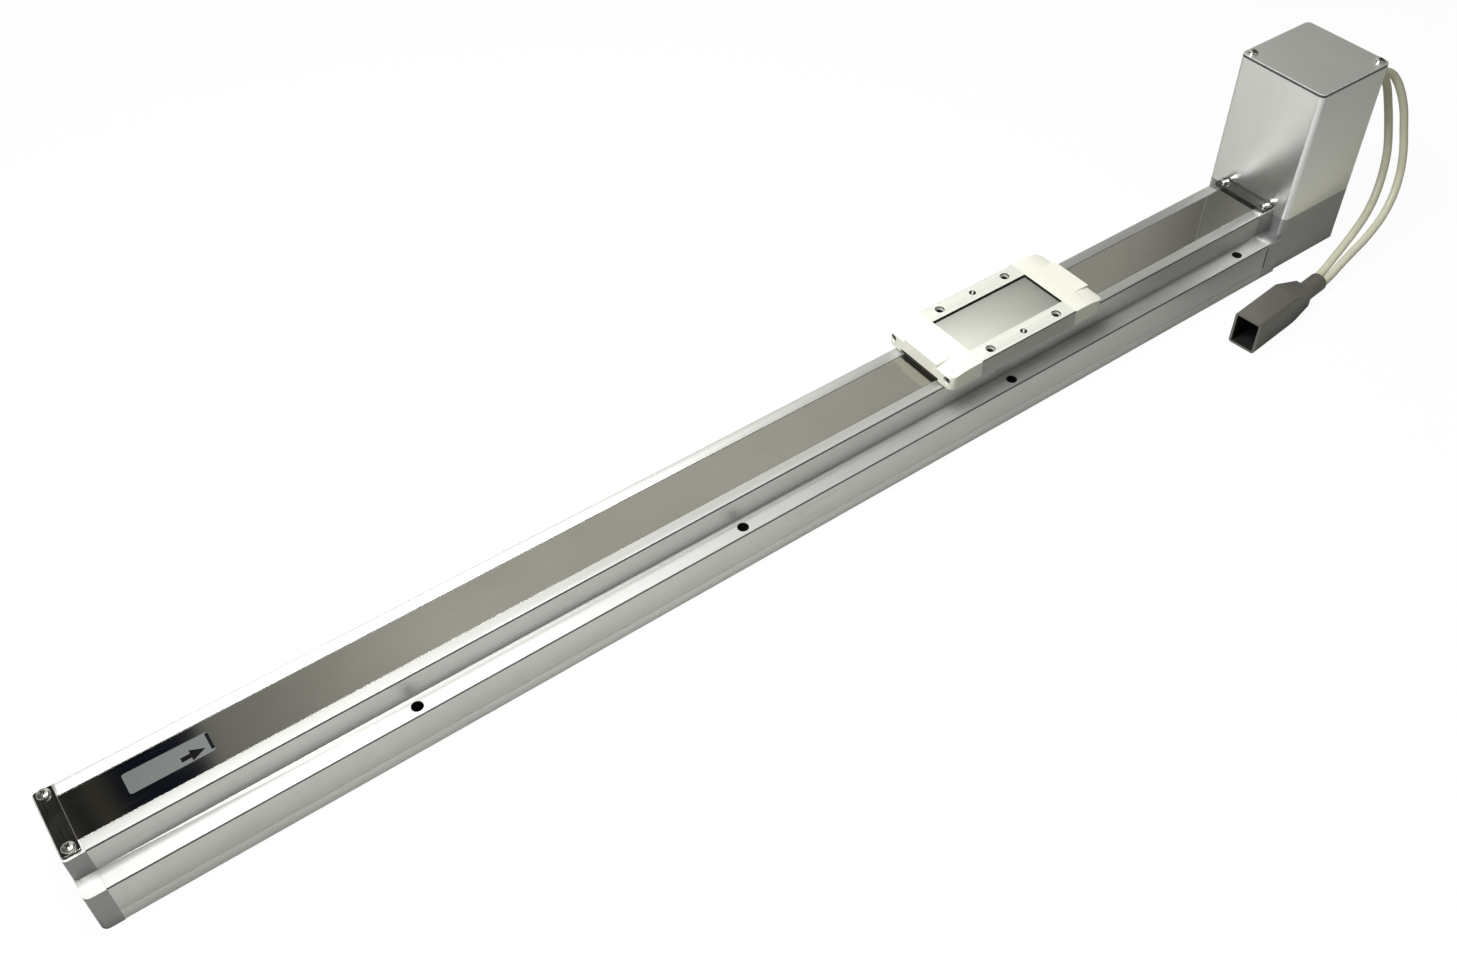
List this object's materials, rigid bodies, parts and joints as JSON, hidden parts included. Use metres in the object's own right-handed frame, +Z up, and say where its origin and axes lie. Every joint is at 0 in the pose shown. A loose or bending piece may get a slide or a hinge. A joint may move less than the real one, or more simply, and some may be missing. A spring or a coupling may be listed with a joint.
{
  "type": "ball screw linear module",
  "caption": "Enclosed ball screw linear module: low extruded body with a sealing band, a sliding table, a square upright drive tower and two cables to one connector.",
  "frame": {"origin": "middle of the module's footprint on the resting plane, cables and connector left out", "axes": "+X along the travel toward the drive tower, +Y across the body, +Z up"},
  "size_m": [0.7685, 0.0992, 0.1153],
  "materials": {
    "silver_anodised": "satin anodised",
    "grey_painted": "satin grey paint",
    "satin_lid": "fine brushed",
    "stainless_band": "bright rolled",
    "dark_steel_clamp": "polished",
    "bright_screw": "plated",
    "black_screw": "black oxide",
    "ground_steel": "ground",
    "bearing_steel": "polished",
    "spring_steel": "dark",
    "bumper_rubber": "matt",
    "flexible_magnet": "matt",
    "machined_aluminium": "machined",
    "motor_laminations": "satin",
    "copper_winding": "enamelled",
    "table_aluminium": "fine matt",
    "plate_aluminium": "fine brushed",
    "white_plastic": "satin",
    "nut_seal_plastic": "satin",
    "wiper_felt": "felt",
    "cable_jacket": "satin",
    "hood_plastic": "satin",
    "insert_plastic": "matt"
  },
  "bodies": {
    "base": {"body_extrusion": "silver_anodised", "near_end_block": "silver_anodised", "near_end_screws": "black_screw", "bearing_holder": "machined_aluminium", "support_bearing_outer_ring": "bearing_steel", "support_bearing_balls": "bearing_steel", "near_bumper": "bumper_rubber", "far_bumper": "bumper_rubber", "guide_rail": "ground_steel", "guide_rail_screws": "black_screw", "seal_magnets": "flexible_magnet", "seal_band": "stainless_band", "near_band_clamp": "dark_steel_clamp", "near_clamp_screws": "bright_screw", "far_band_clamp": "dark_steel_clamp", "far_clamp_screws": "bright_screw", "drive_housing": "grey_painted", "drive_housing_screws": "black_screw", "fixed_bearing_outer_rings": "bearing_steel", "fixed_bearing_balls": "bearing_steel", "bearing_retainer": "machined_aluminium", "bottom_cover": "satin_lid", "bottom_cover_screws": "black_screw", "tower_cover": "silver_anodised", "tower_base_screws": "black_screw", "tower_lid": "satin_lid", "tower_lid_screws": "bright_screw", "motor_bracket": "machined_aluminium", "motor_screws": "black_screw", "motor_stator": "motor_laminations", "motor_coils": "copper_winding", "motor_front_cap": "machined_aluminium", "motor_rear_cap": "machined_aluminium", "motor_bearings": "bearing_steel", "timing_belt": "bumper_rubber", "cable_grommet": "bumper_rubber", "power_cable": "cable_jacket", "signal_cable": "cable_jacket", "connector_hood": "hood_plastic", "connector_insert": "insert_plastic"},
    "screw": {"ball_screw": "ground_steel", "screw_pulley": "machined_aluminium", "bearing_lock_nut": "spring_steel", "fixed_bearing_inner_rings": "bearing_steel", "support_bearing_inner_ring": "bearing_steel", "bearing_circlip": "spring_steel"},
    "rotor": {"motor_rotor": "motor_laminations", "motor_pulley": "machined_aluminium"},
    "carriage": {"carriage_table": "table_aluminium", "table_screws": "black_screw", "slide_block": "ground_steel", "ball_nut": "ground_steel", "nut_balls": "bearing_steel", "nut_end_rings": "nut_seal_plastic", "guide_balls": "bearing_steel", "near_band_holder": "white_plastic", "far_band_holder": "white_plastic", "holder_screws": "bright_screw", "centre_plate": "plate_aluminium", "band_wipers": "wiper_felt"}
  },
  "joints": [
    {"name": "carriage_slide", "type": "slide", "parent": "base", "child": "carriage", "axis": [1, 0, 0], "range_m": [-0.375, 0.125], "deforming": ["seal_band"]},
    {"name": "screw_spin", "type": "hinge", "parent": "base", "child": "screw", "pos_m": [0.3, 0, 0.0185], "axis": [1, 0, 0], "continuous": true},
    {"name": "motor_spin", "type": "hinge", "parent": "base", "child": "rotor", "pos_m": [0.33, 0, 0.0875], "axis": [1, 0, 0], "continuous": true, "deforming": ["timing_belt"]}
  ],
  "couplings": [
    {"joint": "screw_spin", "follows": "carriage_slide", "rad_per_m": -314.16},
    {"joint": "motor_spin", "follows": "carriage_slide", "rad_per_m": -314.16}
  ]
}
